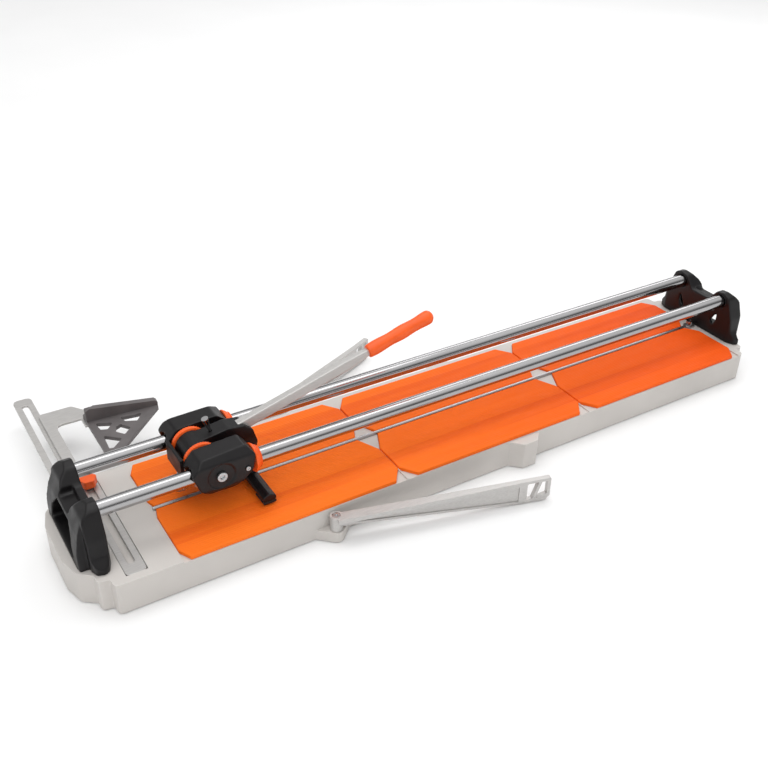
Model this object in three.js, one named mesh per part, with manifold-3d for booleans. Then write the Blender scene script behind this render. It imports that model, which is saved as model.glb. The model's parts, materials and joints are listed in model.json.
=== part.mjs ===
// A manual tile cutter: a cast bench with rubber pads and a breaking ridge, two rails held by end brackets,
// a sliding carriage with a lever, scoring wheel and breaker foot, a side gauge and two swing-out arms.
// Millimetres. +X runs along the rails, +Y points to the gauge's side, +Z is up; the bench stands on z = 0.
import * as THREE from "three";
import { mergeVertices } from "three/addons/utils/BufferGeometryUtils.js";
import Module from "manifold-3d";

const wasm = await Module();
wasm.setup();

// ---- Driving dimensions ----

const railSpan = 1017.2; // clear length between the brackets' inner faces
const nearFace = -railSpan / 2; // the near bracket's inner face
const railRadius = 10;
const railSpacing = 83.6; // axis to axis
const railHeight = 109.3; // axis above the floor
const socketDepth = 13; // how far a rail enters its bracket
const boreGap = 0.3; // a fixed round piece in its hole, on the radius
const seatGap = 0.3; // between faces that rest on each other
const runGap = 0.5; // a moving piece beside a fixed one

const bench = {
  nearOverhang: 48.9, // beyond the near bracket's inner face
  farOverhang: 39,
  width: 215,
  bottom: 1.5,
  top: 45.5,
  deck: 5,
  wall: 5,
  step: 15.5, // each of the two steps that notch a corner, across the bench
  notch: 14.7, // the same along the bench
  slope: [16.5, 12.5], // the slanted edge beside the notches, along and across the bench
  nose: [8, 28], // the gentler slant that leads into the end
  blankTop: 30, // underside of the thick deck at the gauge's end
};
const sideHalf = bench.width / 2;
const foot = { radius: 11, thickness: 9, endInset: 60, sideInset: 22 };
const middleFoot = { length: 60, width: 30 };

const pad = {
  count: 3,
  nearSpace: 73.7, // from the near bracket's inner face to the first pad
  farSpace: 10,
  gap: 2,
  thickness: 5,
  proud: 3, // above the bench's deck
  frontEdge: sideHalf - 1, // from the ridge to the front pads' outer edge
  rearEdge: sideHalf - 9.5, // the same at the rear
  ridgeGap: 0.9,
  // Chamfers as length along X and width along Y, beside the ridge and at the outer edge.
  nearChamfer: { inner: [4, 14], outer: [9, 18] },
  seamChamfer: { inner: [15, 32], outer: [16, 22] },
  farChamfer: { inner: [14, 20], outer: [14, 20] },
  joint: 0.4, // between a pad and its recess
};
const ridge = { width: 5, proud: 1, depth: 8, tabLength: 16, tabWidth: 14, tabThickness: 3 };
const ridgeScrew = { radius: 3, headRadius: 5.5, headHeight: 7, length: 12 };

const bracket = {
  depth: 37.5, // outwards from the inner face, at the bench
  frontDepth: 24.5, // of the tall front part
  towerTop: 124.8,
  saddle: 103.5, // the dip between the towers
  footHalf: 84,
  waistHalf: 70,
  coverHalf: 66, // the lower part behind the towers, at the bench
  coverTopHalf: 55,
  web: 6,
  windowHalf: 7,
};
const bracketBolt = { radius: 4, headRadius: 7, headHeight: 5, spacing: 118, inset: 14 };
const railScrew = { radius: 3, length: 14, inset: 7.5, key: 1.6 };

const carriage = {
  x: nearFace + 153.1, // centre of its housings as it stands
  length: 83,
  housingHalf: 17.5, // across each rail
  top: 138.5,
  bottom: 85,
  bushRadius: 13.5,
  bushLength: 70,
  railClearance: 0.35,
};
const wiper = { radius: 19, noseRadius: 13.5, length: 10 };
const sideScrew = { offset: 10, radius: 4, headRadius: 6.5, headHeight: 3.4, dishRadius: 18, dishDepth: 2 };
const coverScrew = { radius: 1.6, headRadius: 3, headHeight: 1.5, fromEnd: 12 };
const bridge = { thickness: 5, bottom: 96, top: 124, proud: 2 };

const hub = { x: nearFace + 138.6, z: 114, radius: 21, halfWidth: 15.6, bore: 6.3 };
const hubRing = { radius: 23, thickness: 6.5 };
const leverAxle = { radius: 6, tenon: 3 };
const leverAngle = 15.5; // degrees above the horizontal, at rest
const neck = { halfWidth: 12, reach: 75 };
const lever = { start: 28, length: 257, height: 14, width: 11, tipHeight: 9, tipWidth: 8, taper: 30 };
const grip = { length: 104, radius: 9.6, wall: 2.2 };
const clampScrew = { at: 27, radius: 1.8, headRadius: 4.6, shoulder: 17, height: 20 };
const scorer = { lean: 44.2, reach: 50.1, radius: 11, thickness: 5, pin: 2.5, arm: 4, gap: 0.6, strapHalf: 8 };
const breaker = {
  pinAlong: 60.5, // from the hub's axis, along the lever
  pinBelow: 29,
  pin: 3,
  cheek: 3.5,
  barWidth: 18,
  barHalf: 69,
  barBottom: 55.5,
  barTop: 63.5,
  padBottom: 51.5,
  padLength: 24,
};

const gauge = {
  x: nearFace + 21.1, // centre line of the part in the bench's channel
  rearX: nearFace - 1.9, // centre line of the part beyond the bench
  width: 26,
  thickness: 4,
  front: 11.5 - sideHalf,
  rear: sideHalf + 224.5,
  jogFront: sideHalf + 6.5, // where the bar steps sideways
  jogRear: sideHalf + 32.5,
  slotWidth: 9,
  slotMargin: 18, // from each end of the bar to its slot
  frontSlotEnd: sideHalf - 5.5,
  rearSlotStart: sideHalf + 24.5,
  clearance: 0.5,
  pocketFloor: 0.3, // below the bar
};
const gaugeStud = { y: sideHalf - 21.5, radius: 3, height: 11.5 };
const knob = { radius: 11.6, height: 14, lobes: 6, hub: 6.6, capBase: 3 };
const square = {
  x: nearFace + 59.6, // the right angle's corner
  y: sideHalf + 105.5,
  leg: 101,
  bottom: 49.6,
  thickness: 5.5,
  skew: 4, // degrees between the flange and the bench
  flange: 9,
  flangeHeight: 26,
  tipHeight: 13.5,
  lugReach: 23, // the corner's tongue over the gauge's plate
  lugWidth: 18,
};
const gaugeArm = {
  thickness: 3.4,
  overlap: 4, // on the bar's edge
  legWidth: 14.5,
  legStart: sideHalf + 10.5,
  armFront: sideHalf + 128.5,
  armRear: sideHalf + 166.5,
};
const squareScrew = { radius: 3, headRadius: 6, headHeight: 3 };

const arm = {
  length: 294,
  top: 38,
  foot: 2.5, // the end block's underside, just clear of the floor
  rootBottom: 20.5,
  wallEdge: 4, // from the pivot to the face on the bench's side
  web: 7,
  flange: 7, // depth of the top flange
  flangeWidth: 16, // at the pivot
  hubRadius: 8.5,
  hubBottom: 16.6,
  block: 38, // the open end block's length
  rim: 4.5,
  bevel: 6,
  panel: 1.4, // depth of the recess in each face
  panelMargin: 3.5,
  level: 20, // from the pivot to where the underside starts to fall
  slant: 4, // lean of the end block's middle bar, each way
};
const armPin = { radius: 3, headRadius: 5, headHeight: 3 };
const armDeep = arm.length - arm.block; // from the pivot to where the end block starts
const frontArm = { x: nearFace + 272.6, angle: -14.8 };
const rearArm = { x: nearFace + 264.6, angle: 26 };
const lug = { offset: 9.2, radius: 10.5, height: 14.8, flare: 30 };
const buttress = { x: frontArm.x + 306, half: 11, height: 40.5 }; // a tall boss on each side wall

// ---- Values that follow from them ----

const half = railSpan / 2;
const benchNear = -half - bench.nearOverhang;
const benchFar = half + bench.farOverhang;
const padStart = -half + pad.nearSpace;
const padPitch = (railSpan - pad.nearSpace - pad.farSpace) / pad.count;
const padTop = bench.top + pad.proud;
const padFloor = padTop - pad.thickness;
const railY = railSpacing / 2;
const lugY = sideHalf + lug.offset;
const ridgeTop = padTop + ridge.proud;

// ---- Materials ----

const finish = (color, roughness, metalness = 0) => ({ color, roughness, metalness });
const castGrey = finish(0xc8c8c4, 0.55, 0.1);
const chrome = finish(0xd8dadc, 0.15, 1);
const steel = finish(0xa8aaac, 0.35, 0.9);
const black = finish(0x1b1b1e, 0.45);
const orange = finish(0xff5a12, 0.55);
const rubber = finish(0x202020, 0.85);
const darkGrey = finish(0x4a4646, 0.5);
const lightGrey = finish(0xc2c2c0, 0.45, 0.3);

// ---- Solids ----

// A closed three.js geometry as a solid that can be joined and cut.
function solid(geometry) {
  const bare = geometry.clone();
  bare.deleteAttribute("normal");
  bare.deleteAttribute("uv");
  const merged = mergeVertices(bare, 1e-4);
  return new wasm.Manifold(
    new wasm.Mesh({
      numProp: 3,
      vertProperties: new Float32Array(merged.attributes.position.array),
      triVerts: new Uint32Array(merged.index.array),
    }),
  );
}

function geometryOf(body) {
  const mesh = body.getMesh();
  const geometry = new THREE.BufferGeometry();
  geometry.setAttribute("position", new THREE.BufferAttribute(new Float32Array(mesh.vertProperties), 3));
  geometry.setIndex(new THREE.BufferAttribute(new Uint32Array(mesh.triVerts), 1));
  const faceted = geometry.toNonIndexed();
  faceted.computeVertexNormals();
  return faceted;
}

const join = (...bodies) => bodies.reduce((sum, body) => sum.add(body));
const cut = (body, ...tools) => tools.reduce((rest, tool) => rest.subtract(tool), body);

// A closed outline through corners [x, y, radius]: each corner with a radius is rounded by an arc.
function outline(corners, steps = 2) {
  const points = [];
  corners.forEach(([x, y, radius = 0], i) => {
    const corner = new THREE.Vector2(x, y);
    if (!radius) {
      points.push(corner);
      return;
    }
    const [px, py] = corners.at(i - 1);
    const [nx, ny] = corners[(i + 1) % corners.length];
    const back = new THREE.Vector2(px, py).sub(corner).normalize();
    const ahead = new THREE.Vector2(nx, ny).sub(corner).normalize();
    const halfAngle = Math.acos(THREE.MathUtils.clamp(back.dot(ahead), -1, 1)) / 2;
    const reach = radius / Math.tan(halfAngle);
    const middle = back.clone().add(ahead).setLength(radius / Math.sin(halfAngle)).add(corner);
    const from = back.clone().multiplyScalar(reach).add(corner).sub(middle).angle();
    const to = ahead.clone().multiplyScalar(reach).add(corner).sub(middle).angle();
    const turn = Math.atan2(Math.sin(to - from), Math.cos(to - from));
    for (let k = 0; k <= steps; k++) {
      const angle = from + (turn * k) / steps;
      points.push(new THREE.Vector2(Math.cos(angle), Math.sin(angle)).multiplyScalar(radius).add(middle));
    }
  });
  return new THREE.Shape(points);
}

const rectangle = (x0, x1, y0, y1, radius = 0) =>
  outline([
    [x0, y0, radius],
    [x1, y0, radius],
    [x1, y1, radius],
    [x0, y1, radius],
  ]);

// A flat outline given a thickness: along Z from an (x, y) outline, along X from (y, z), along Y from (x, z).
function slab(shape, low, high, axis = "z") {
  const geometry = new THREE.ExtrudeGeometry(shape, { depth: high - low, bevelEnabled: false });
  geometry.translate(0, 0, low);
  const cycle = new THREE.Matrix4().set(0, 0, 1, 0, 1, 0, 0, 0, 0, 1, 0, 0, 0, 0, 0, 1);
  if (axis === "x") geometry.applyMatrix4(cycle);
  if (axis === "y") {
    geometry.translate(0, 0, -low - high);
    geometry.rotateX(Math.PI / 2);
  }
  return solid(geometry);
}

const block = (x0, x1, y0, y1, z0, z1) => slab(rectangle(x0, x1, y0, y1), z0, z1);

// A round bar along an axis, from low to high, through the point (a, b) of the plane across that axis.
function bar(radius, axis, low, high, a = 0, b = 0, sides = 20, highRadius = radius) {
  const geometry = new THREE.CylinderGeometry(highRadius, radius, high - low, sides);
  geometry.translate(0, (low + high) / 2, 0);
  if (axis === "x") geometry.rotateZ(-Math.PI / 2).translate(0, a, b);
  if (axis === "y") geometry.translate(a, 0, b);
  if (axis === "z") geometry.rotateX(Math.PI / 2).translate(a, b, 0);
  return solid(geometry);
}

// A screw along an axis: its shank from start to the head's seat, and its head beyond, on the side of sign.
function screw(size, axis, start, seat, a, b, sides = 10) {
  const sign = Math.sign(seat - start);
  const ends = (from, to) => [Math.min(from, to), Math.max(from, to)];
  const shank = bar(size.radius, axis, ...ends(start, seat + sign * size.headHeight * 0.5), a, b, sides);
  const head = bar(size.headRadius, axis, ...ends(seat, seat + sign * size.headHeight), a, b, sides * 2);
  const key = bar(
    size.headRadius * 0.5,
    axis,
    ...ends(seat + sign * size.headHeight * 0.45, seat + sign * (size.headHeight + 1)),
    a,
    b,
    6,
  );
  return cut(join(shank, head), key);
}

const cutter = new THREE.Group();

function add(name, body, look, group = cutter) {
  const mesh = new THREE.Mesh(geometryOf(body), new THREE.MeshStandardMaterial(look));
  mesh.name = name;
  group.add(mesh);
}

// ---- Bench ----

// The bench seen from above: straight sides, and two steps and two slants at each corner.
function benchOutline(inset = 0) {
  const y = sideHalf - inset;
  const { step, notch, slope, nose } = bench;
  const corner = (x) => {
    const slantY = y - 2 * step - slope[1];
    return [
      [x, slantY - nose[1], 18],
      [x - nose[0], slantY, 14],
      [x - nose[0] - slope[0], y - 2 * step, 4],
      [x - nose[0] - slope[0], y - step, 6],
      [x - nose[0] - slope[0] - notch, y - step, 4],
      [x - nose[0] - slope[0] - notch, y, 6],
    ];
  };
  const turned = (sx, sy) => {
    const end = sx < 0 ? -benchNear : benchFar;
    return corner(end - inset).map(([cx, cy, r]) => [sx * cx, sy * cy, inset ? 0 : r]);
  };
  return outline([...turned(1, 1), ...turned(-1, 1).reverse(), ...turned(-1, -1), ...turned(1, -1).reverse()]);
}

// A pad seen from above, grown by a margin: side is -1 for the front row and 1 for the rear row.
function padOutline(index, side, margin = 0, outerMargin = margin) {
  const x0 = padStart + index * padPitch + pad.gap / 2 - margin;
  const x1 = padStart + (index + 1) * padPitch - pad.gap / 2 + margin;
  const inner = side * (ridge.width / 2 + pad.ridgeGap - margin);
  const outer = side * ((side < 0 ? pad.frontEdge : pad.rearEdge) + outerMargin);
  const left = index === 0 ? pad.nearChamfer : pad.seamChamfer;
  const right = index === pad.count - 1 ? pad.farChamfer : pad.seamChamfer;
  return outline([
    [x0 + left.inner[0], inner],
    [x1 - right.inner[0], inner],
    [x1, inner + side * right.inner[1]],
    [x1, outer - side * right.outer[1]],
    [x1 - right.outer[0], outer],
    [x0 + left.outer[0], outer],
    [x0, outer - side * left.outer[1]],
    [x0, inner + side * left.inner[1]],
  ]);
}

const lugPlaces = [
  [frontArm.x, -1],
  [rearArm.x, 1],
];

// A flared boss on a side wall: halfWidth is its flat front's.
function bossSolid(x, side, halfWidth, height) {
  const wallY = side * (sideHalf - bench.wall);
  const front = side * (lugY + lug.radius * 0.6);
  const plan = outline([
    [x - lug.flare, wallY],
    [x - halfWidth, front, 4],
    [x + halfWidth, front, 4],
    [x + lug.flare, wallY],
  ]);
  return slab(plan, bench.bottom, bench.bottom + height);
}

// A foot of the casting that carries a support arm's pin.
function lugSolid(x, side) {
  const round = bar(lug.radius, "z", bench.bottom, bench.bottom + lug.height, x, side * lugY);
  return join(bossSolid(x, side, lug.radius * 0.8, lug.height), round);
}

const footPlaces = [];
for (const x of [benchNear + foot.endInset, benchFar - foot.endInset])
  for (const side of [-1, 1]) footPlaces.push([x, side * (sideHalf - foot.sideInset)]);

const boltPlaces = [];
for (const end of [-1, 1])
  for (const side of [-1, 1]) boltPlaces.push([end, side]);
const boltX = (end) => end * (half + bracketBolt.inset);
const boltY = (side) => (side * bracketBolt.spacing) / 2;
const boltSeat = bench.bottom + bench.deck + bracketBolt.headHeight;

function benchSolid() {
  const outer = slab(benchOutline(), bench.bottom, bench.top);
  const cells = [];
  const ceiling = bench.top - bench.deck;
  const cellPitch = padPitch / 3;
  const cellEnd = half - pad.farSpace;
  const y0 = bench.wall;
  const y1 = sideHalf - bench.wall;
  const rib = bench.wall / 2;
  for (const side of [-1, 1]) {
    for (let x = padStart; x < cellEnd - 1; x += cellPitch) {
      const cell = side < 0 ? [-y1, -y0] : [y0, y1];
      cells.push(block(x + rib, x + cellPitch - rib, ...cell, bench.bottom - 1, ceiling));
    }
    const nearCell = side < 0 ? [-sideHalf + 2.6 * bench.step, -y0] : [y0, sideHalf - 2.6 * bench.step];
    cells.push(block(-half + 2 * bench.wall, padStart - rib, ...nearCell, bench.bottom - 1, bench.blankTop));
  }
  let body = cut(outer, ...cells);
  for (const [x, side] of lugPlaces) body = body.add(lugSolid(x, side));
  for (const side of [-1, 1]) body = body.add(bossSolid(buttress.x, side, buttress.half, buttress.height));
  for (const [x, y] of footPlaces)
    body = body.add(bar(foot.radius + bench.wall, "z", bench.bottom, bench.top - 1, x, y));
  const { length, width } = middleFoot;
  const middle = bench.wall + length / 2;
  const across = width / 2 + bench.wall;
  body = body.add(block(-middle, middle, -across, across, bench.bottom, ceiling + 1));
  return cut(body, ...benchCuts());
}

function benchCuts() {
  const cuts = [];
  for (let i = 0; i < pad.count; i++)
    for (const side of [-1, 1])
      cuts.push(slab(padOutline(i, side, pad.joint, side < 0 ? sideHalf : pad.joint), padFloor - seatGap, padTop));
  cuts.push(slab(ridgeOutline(seatGap), ridgeTop - ridge.depth - seatGap, padTop));
  cuts.push(slab(channelOutline(), gaugeFloor, bench.top + 1));
  cuts.push(bar(gaugeStud.radius + boreGap, "z", bench.blankTop - 1, bench.top, gauge.x, gaugeStud.y, 12));
  cuts.push(bar(ridgeScrew.radius + boreGap, "z", bench.bottom + bench.wall, bench.top, ridgeEnd, 0, 12));
  for (const [x, y] of footPlaces)
    cuts.push(bar(foot.radius + boreGap, "z", 0, foot.thickness + seatGap, x, y));
  cuts.push(slab(middleFootOutline(seatGap), 0, foot.thickness + seatGap));
  for (const [end, side] of boltPlaces) {
    const place = [boltX(end), boltY(side)];
    cuts.push(bar(bracketBolt.radius + boreGap, "z", bench.bottom, bench.top + 1, ...place, 12));
    cuts.push(bar(bracketBolt.headRadius + 1, "z", bench.bottom - 1, boltSeat, ...place));
  }
  for (const [x, side] of lugPlaces)
    cuts.push(bar(armPin.radius + boreGap, "z", bench.bottom + 4, bench.bottom + lug.height + 1, x, side * lugY, 12));
  return cuts;
}

// ---- Ridge, pads and feet ----

const ridgeStart = padStart + pad.gap / 2;
const ridgeEnd = half - pad.farSpace - pad.gap / 2;
const tabHalf = ridge.tabLength / 2;

function ridgeOutline(margin = 0) {
  return rectangle(ridgeStart + 1 - margin, ridgeEnd - 1 + margin, -ridge.width / 2 - margin, ridge.width / 2 + margin);
}

// The steel strip whose edge a tile breaks over. A screwed tab holds its far end.
function ridgeSolid() {
  const crown = outline([
    [-ridge.width / 2, ridgeTop - ridge.depth],
    [ridge.width / 2, ridgeTop - ridge.depth],
    [ridge.width / 2, ridgeTop - 1.6],
    [1, ridgeTop],
    [-1, ridgeTop],
    [-ridge.width / 2, ridgeTop - 1.6],
  ]);
  const strip = slab(crown, ridgeStart + 1, ridgeEnd - 1, "x");
  const bottom = bench.top + seatGap;
  const tabShape = rectangle(ridgeEnd - tabHalf, ridgeEnd + tabHalf, -ridge.tabWidth / 2, ridge.tabWidth / 2, 3);
  const tab = slab(tabShape, bottom, bottom + ridge.tabThickness);
  const hole = bar(ridgeScrew.radius + boreGap, "z", bench.bottom, ridgeTop + 1, ridgeEnd, 0, 12);
  const headRoom = bar(ridgeScrew.headRadius + boreGap, "z", bottom + ridge.tabThickness, ridgeTop + 1, ridgeEnd, 0);
  return cut(join(strip, tab), hole, headRoom);
}

function padSolid(index, side) {
  const reach = tabHalf + pad.ridgeGap;
  const room = ridge.tabWidth / 2 + pad.ridgeGap;
  const tabRoom = block(ridgeEnd - reach, ridgeEnd + reach, -room, room, padFloor - 1, padTop + 1);
  return cut(slab(padOutline(index, side), padFloor, padTop), tabRoom);
}

function middleFootOutline(margin = 0) {
  const x = middleFoot.length / 2 + margin;
  const y = middleFoot.width / 2 + margin;
  return rectangle(-x, x, -y, y, 4);
}

// ---- Rails and brackets ----

// The near bracket's walls in (y, z), mirrored about the ridge: two towers and the saddle between them.
function bracketFace() {
  const { towerTop, saddle, footHalf, waistHalf } = bracket;
  const foot0 = bench.top + seatGap;
  const right = [
    [railY - 24, saddle, 8],
    [railY - 10, towerTop - 3, 6],
    [railY + 4, towerTop, 6],
    [railY + 16, towerTop - 5, 7],
    [waistHalf, 86, 14],
    [waistHalf + 3, 66, 10],
    [footHalf, 52, 5],
    [footHalf, foot0],
  ];
  const left = right.map(([y, z, r]) => [-y, z, r]).reverse();
  return outline([...left, ...right]);
}

// A range of distances outwards from a bracket's inner face, as x.
const ordered = (a, b) => [Math.min(a, b), Math.max(a, b)];
const outwards = (end, near, far) => ordered(end * (half + near), end * (half + far));

// The bracket seen from above: a wide front part, and a narrower block behind it.
function bracketPlan(end) {
  const { depth, frontDepth, footHalf, coverHalf } = bracket;
  const edge = [
    [0, footHalf - 16],
    [5, footHalf - 4, 3],
    [11, footHalf, 4],
    [frontDepth - 4, footHalf - 3, 4],
    [frontDepth, coverHalf + 6, 4],
    [depth - 1.5, coverHalf, 5],
    [depth, coverHalf - 10],
  ];
  const side = (sign) => edge.map(([distance, y, r]) => [end * (half + distance), sign * y, r]);
  return outline([...side(1), ...side(-1).reverse()]);
}

function bracketSolid(end) {
  const floor = bench.top + seatGap;
  const { towerTop, frontDepth, depth, coverHalf, coverTopHalf, web, windowHalf } = bracket;
  const past = depth + 1;
  const over = towerTop + 2;
  // Profile in (x, z), outwards from the inner face.
  const out = (distance) => end * (half + distance);
  const profile = outline([
    [out(0), floor],
    [out(0), towerTop + 1],
    [out(10), towerTop + 1, 3],
    [out(frontDepth - 1.5), towerTop - 12, 8],
    [out(depth * 0.83), 92, 12],
    [out(depth * 0.95), 72, 8],
    [out(depth), floor],
  ]);
  const shaped = slab(bracketFace(), ...outwards(end, 0, depth), "x")
    .intersect(slab(profile, -bracket.footHalf - 1, bracket.footHalf + 1, "y"))
    .intersect(slab(bracketPlan(end), floor, over))
    .intersect(slab(benchOutline(seatGap), floor, over));
  // The outer side is open between the legs, behind a thin web.
  const hollow = outline([
    [-railY - 4, floor + 5, 4],
    [railY + 4, floor + 5, 4],
    [railY - 4, 76, 6],
    [railY - 18, 92, 6],
    [-railY + 18, 92, 6],
    [-railY + 4, 76, 6],
  ]);
  // A dish behind the saddle, between the towers.
  const dish = rectangle(-railY + 22, railY - 22, 97, over + 3, 4);
  const cuts = [
    slab(hollow, ...outwards(end, web, past), "x"),
    slab(dish, ...outwards(end, web + 4, past), "x"),
  ];
  for (const side of [-1, 1]) {
    // Behind the towers the casting narrows towards the top.
    const shoulder = outline([
      [side * coverTopHalf, over],
      [side * coverHalf, floor - 1],
      [side * (bracket.footHalf + 5), floor - 1],
      [side * (bracket.footHalf + 5), over],
    ]);
    cuts.push(slab(shoulder, ...outwards(end, frontDepth, past), "x"));
    const y = side * (railY - windowHalf);
    const window = outline([
      [y + side * windowHalf * 0.8, 91, 1.5],
      [y + side * windowHalf * 0.8, 74, 1.5],
      [y, 63, 1.5],
      [y - side * windowHalf * 0.8, 69, 1.5],
    ]);
    cuts.push(slab(window, ...outwards(end, -1, web + 1), "x"));
    const socket = outwards(end, -1, socketDepth + seatGap);
    cuts.push(bar(railRadius + boreGap, "x", ...socket, side * railY, railHeight, 28));
    const screwPlace = [out(railScrew.inset), side * railY];
    cuts.push(bar(railScrew.radius + boreGap, "z", floor + 12, railHeight, ...screwPlace, 12));
    cuts.push(bar(bracketBolt.radius + boreGap, "z", floor - 1, floor + 22, boltX(end), boltY(side), 12));
  }
  return cut(shaped, ...cuts);
}

// A set screw from below that holds a rail in its socket.
function railScrewSolid(end, side) {
  const top = railHeight - railRadius - seatGap;
  const place = [end * (half + railScrew.inset), side * railY];
  const start = top - railScrew.length;
  const key = bar(railScrew.key, "z", start - 1, start + 4, ...place, 6);
  return cut(bar(railScrew.radius, "z", start, top, ...place, 12), key);
}

// ---- Carriage ----

const housing = {
  x0: -carriage.length / 2,
  x1: carriage.length / 2,
};

// One half of the carriage, around its rail, in carriage coordinates: side is -1 at the front.
function housingSolid(side) {
  const { x0, x1 } = housing;
  const { top, bottom, housingHalf } = carriage;
  const face = outline([
    [x0 + 9, bottom + 10, 5],
    [x0 + 23, bottom, 6],
    [x1 - 27, bottom - 1, 8],
    [x1 - 4, bottom + 20, 8],
    [x1, bottom + 41, 5],
    [x1 - (side < 0 ? 10 : 16), top, 6],
    [x0 + 14, top - 3, 8],
    [x0, bottom + 34, 6],
  ]);
  const across = [railY - housingHalf, railY + housingHalf];
  const inY = side < 0 ? across.map((y) => -y).reverse() : across;
  const body = slab(face, ...inY, "y");
  // Seen along the rail, the top is crowned and the lower edges are bevelled.
  const outerY = side * across[1];
  const innerY = side * across[0];
  const section = outline([
    [innerY, bottom - 2],
    [outerY - side * 6, bottom - 2, 3],
    [outerY, bottom + 8, 4],
    [outerY, top - 11, 5],
    [outerY - side * 10, top + 0.5, 6],
    [innerY, top + 1],
  ]);
  const shaped = body.intersect(slab(section, x0 - 1, x1 + 1, "x"));
  const bore = bar(carriage.bushRadius + boreGap, "x", x0 - 1, x1 + 1, side * railY, railHeight, 28);
  const centre = [hub.x - carriage.x, hub.z];
  const axleHole = bar(leverAxle.radius + boreGap, "y", ...tenonRange(side, boreGap), ...centre);
  const screwAt = [hub.x - carriage.x + sideScrew.offset, railHeight];
  const dish = bar(sideScrew.dishRadius, "y", ...dishRange(side), ...screwAt, 32);
  const screwHole = bar(sideScrew.radius + boreGap, "y", ...screwRange(side), ...screwAt, 12);
  const coverAt = [x1 - coverScrew.fromEnd, railHeight];
  const coverHole = bar(coverScrew.radius + boreGap, "y", ...coverRange(side), ...coverAt, 8);
  return cut(shaped, bore, axleHole, dish, screwHole, coverHole);
}

const faceY = (side) => side * (railY + carriage.housingHalf);
const dishRange = (side) => ordered(faceY(side) - side * sideScrew.dishDepth, faceY(side) + side * 5);
const screwRange = (side) => ordered(side * (railY + carriage.bushRadius), faceY(side) + side * 5);
const coverRange = (side) => ordered(faceY(side) - side * 3, faceY(side) + side * 5);
const tenonRange = (side, extra) => {
  const inner = railY - carriage.housingHalf;
  return ordered(side * (inner - 1), side * (inner + leverAxle.tenon + extra));
};

function bushSolid(side) {
  const outer = bar(carriage.bushRadius, "x", -carriage.bushLength / 2, carriage.bushLength / 2, side * railY, railHeight, 28);
  const bore = railRadius + carriage.railClearance;
  return cut(outer, bar(bore, "x", -carriage.length, carriage.length, side * railY, railHeight, 28));
}

function wiperSolid(side) {
  const start = housing.x1 + seatGap;
  const cone = bar(wiper.radius, "x", start, start + wiper.length, side * railY, railHeight, 28, wiper.noseRadius);
  const bore = railRadius + carriage.railClearance;
  return cut(cone, bar(bore, "x", start - 1, start + wiper.length + 1, side * railY, railHeight, 28));
}

function sideScrewSolid(side) {
  const start = side * (railY + carriage.bushRadius + seatGap);
  const seat = faceY(side) - side * (sideScrew.dishDepth - seatGap);
  return screw(sideScrew, "y", start, seat, hub.x - carriage.x + sideScrew.offset, railHeight);
}

function coverScrewSolid(side) {
  const start = faceY(side) - side * 2.5;
  return screw(coverScrew, "y", start, faceY(side) + side * seatGap, housing.x1 - coverScrew.fromEnd, railHeight, 8);
}

function bridgeSolid() {
  const inner = railY - carriage.housingHalf - seatGap;
  const x0 = housing.x0 - bridge.proud;
  const plate = rectangle(x0, x0 + bridge.thickness, bridge.bottom, bridge.top, 1.5);
  return slab(plate, -inner, inner, "y");
}

function axleSolid() {
  const reach = railY - carriage.housingHalf + leverAxle.tenon;
  return bar(leverAxle.radius, "y", -reach, reach, hub.x - carriage.x, hub.z);
}

// ---- Lever, in its own coordinates: the origin is the hub's axis and +X runs along the lever ----

function neckSolid() {
  const drum = bar(hub.radius, "y", -hub.halfWidth, hub.halfWidth, 0, 0, 28);
  const side = outline([
    [2, -19],
    [30, -24, 6],
    [48, -36, 5],
    [neck.reach - 5, -36, 4],
    [neck.reach, -27, 4],
    [neck.reach, -7, 5],
    [neck.reach - 8, 5, 5],
    [46, 14, 8],
    [26, 16.5, 6],
    [2, 20],
  ]);
  const body = join(drum, slab(side, -neck.halfWidth, neck.halfWidth, "y"));
  const channel = block(
    lever.start - seatGap,
    neck.reach + 1,
    -lever.width / 2 - seatGap,
    lever.width / 2 + seatGap,
    -lever.height / 2 - seatGap,
    lever.height / 2 + seatGap,
  );
  const axle = bar(hub.bore, "y", -hub.halfWidth - 1, hub.halfWidth + 1, 0, 0);
  const pin = bar(breaker.pin + boreGap, "y", -neck.halfWidth - 1, neck.halfWidth + 1, breaker.pinAlong, -breaker.pinBelow);
  const screwHole = bar(clampScrew.radius + boreGap, "z", 0, hub.radius + 2, clampScrew.at, 0, 12);
  return cut(body, channel, axle, pin, screwHole);
}

function ringSolid(side) {
  const range = ordered(side * (hub.halfWidth + seatGap), side * (hub.halfWidth + seatGap + hubRing.thickness));
  const disc = bar(hubRing.radius, "y", ...range, 0, 0, 28);
  return cut(disc, bar(hub.bore, "y", range[0] - 1, range[1] + 1, 0, 0));
}

function leverSolid() {
  const { start, length, height, width, tipHeight, tipWidth, taper } = lever;
  const side = outline([
    [start, -height / 2, 2],
    [length - taper, -height / 2, 8],
    [length, -tipHeight / 2],
    [length + grip.length * 0.7, -tipHeight / 2],
    [length + grip.length * 0.7, tipHeight / 2],
    [length, tipHeight / 2],
    [length - taper, height / 2, 8],
    [start, height / 2, 2],
  ]);
  const plan = outline([
    [start, -width / 2],
    [length - taper, -width / 2, 8],
    [length, -tipWidth / 2],
    [length + grip.length * 0.7, -tipWidth / 2],
    [length + grip.length * 0.7, tipWidth / 2],
    [length, tipWidth / 2],
    [length - taper, width / 2, 8],
    [start, width / 2],
  ]);
  return slab(side, -width / 2, width / 2, "y").intersect(slab(plan, -height / 2, height / 2));
}

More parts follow.
